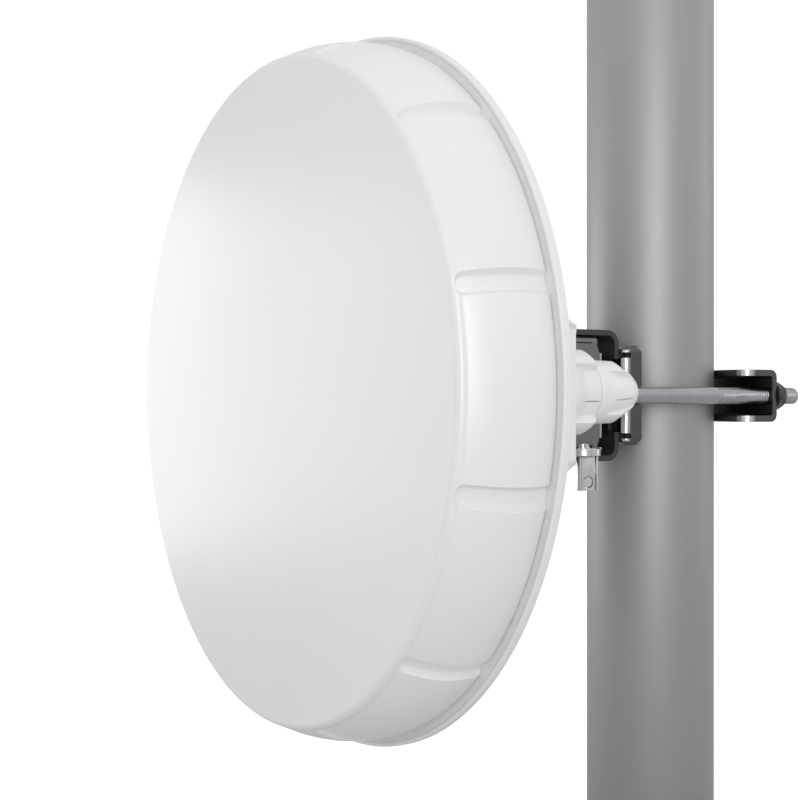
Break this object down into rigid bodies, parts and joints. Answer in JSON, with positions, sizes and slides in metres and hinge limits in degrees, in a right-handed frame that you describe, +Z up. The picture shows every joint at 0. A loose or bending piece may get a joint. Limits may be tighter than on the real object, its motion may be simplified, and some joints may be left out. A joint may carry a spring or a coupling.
{
  "type": "parabolic dish antenna",
  "caption": "Radome-covered dish antenna on an elevation bracket, clamped by two long bolts to a length of round steel pole.",
  "frame": {"origin": "centre of the pole's closed foot, on its underside", "axes": "+Z up the pole, -Y the way the dish faces, +X the side of the cable gland"},
  "size_m": [0.368, 0.3435, 0.544],
  "materials": {
    "white_plastic": "satin white moulded plastic",
    "white_paint": "white powder coat on sheet aluminium",
    "galvanized_pole": "smooth galvanized steel tube",
    "dark_steel": "dark grey coated sheet steel",
    "grey_steel": "purple-grey satin sheet steel",
    "bronze_steel": "dark bronze-grey polished sheet steel",
    "bright_steel": "bright zinc-plated steel",
    "dark_nut": "dark blackened steel",
    "black_rubber": "matt black rubber"
  },
  "bodies": {
    "pole_stand": {"pole": "galvanized_pole", "pole_cap": "black_rubber"},
    "clamp_head": {"pole_saddle": "bronze_steel", "back_clamp": "bronze_steel", "long_bolt_near": "bright_steel", "long_bolt_far": "bright_steel", "flange_nut_near": "dark_nut", "flange_nut_far": "dark_nut", "outer_yoke": "dark_steel", "inner_bracket": "grey_steel", "tie_bolt_upper": "bright_steel", "tie_bolt_lower": "bright_steel", "elevation_bolt": "bright_steel", "elevation_nut": "bright_steel", "adjuster_disc": "bright_steel", "adjuster_stud": "bright_steel", "adjuster_clevis": "bright_steel", "adjuster_pin": "bright_steel"},
    "dish_head": {"radome": "white_plastic", "reflector": "white_paint", "rear_housing": "white_plastic", "pivot_lug": "grey_steel", "housing_screw_near": "bright_steel", "housing_screw_far": "bright_steel", "gland_base": "white_plastic", "gland_cap": "white_plastic", "cable_seal": "black_rubber"}
  },
  "joints": [
    {"name": "azimuth_turn", "type": "hinge", "parent": "pole_stand", "child": "clamp_head", "pos_m": [0, 0, 0.2725], "axis": [0, 0, 1], "range_deg": [-45, 45]},
    {"name": "elevation_tilt", "type": "hinge", "parent": "clamp_head", "child": "dish_head", "pos_m": [0, -0.108, 0.2725], "axis": [-1, 0, 0], "range_deg": [-10, 10]}
  ]
}
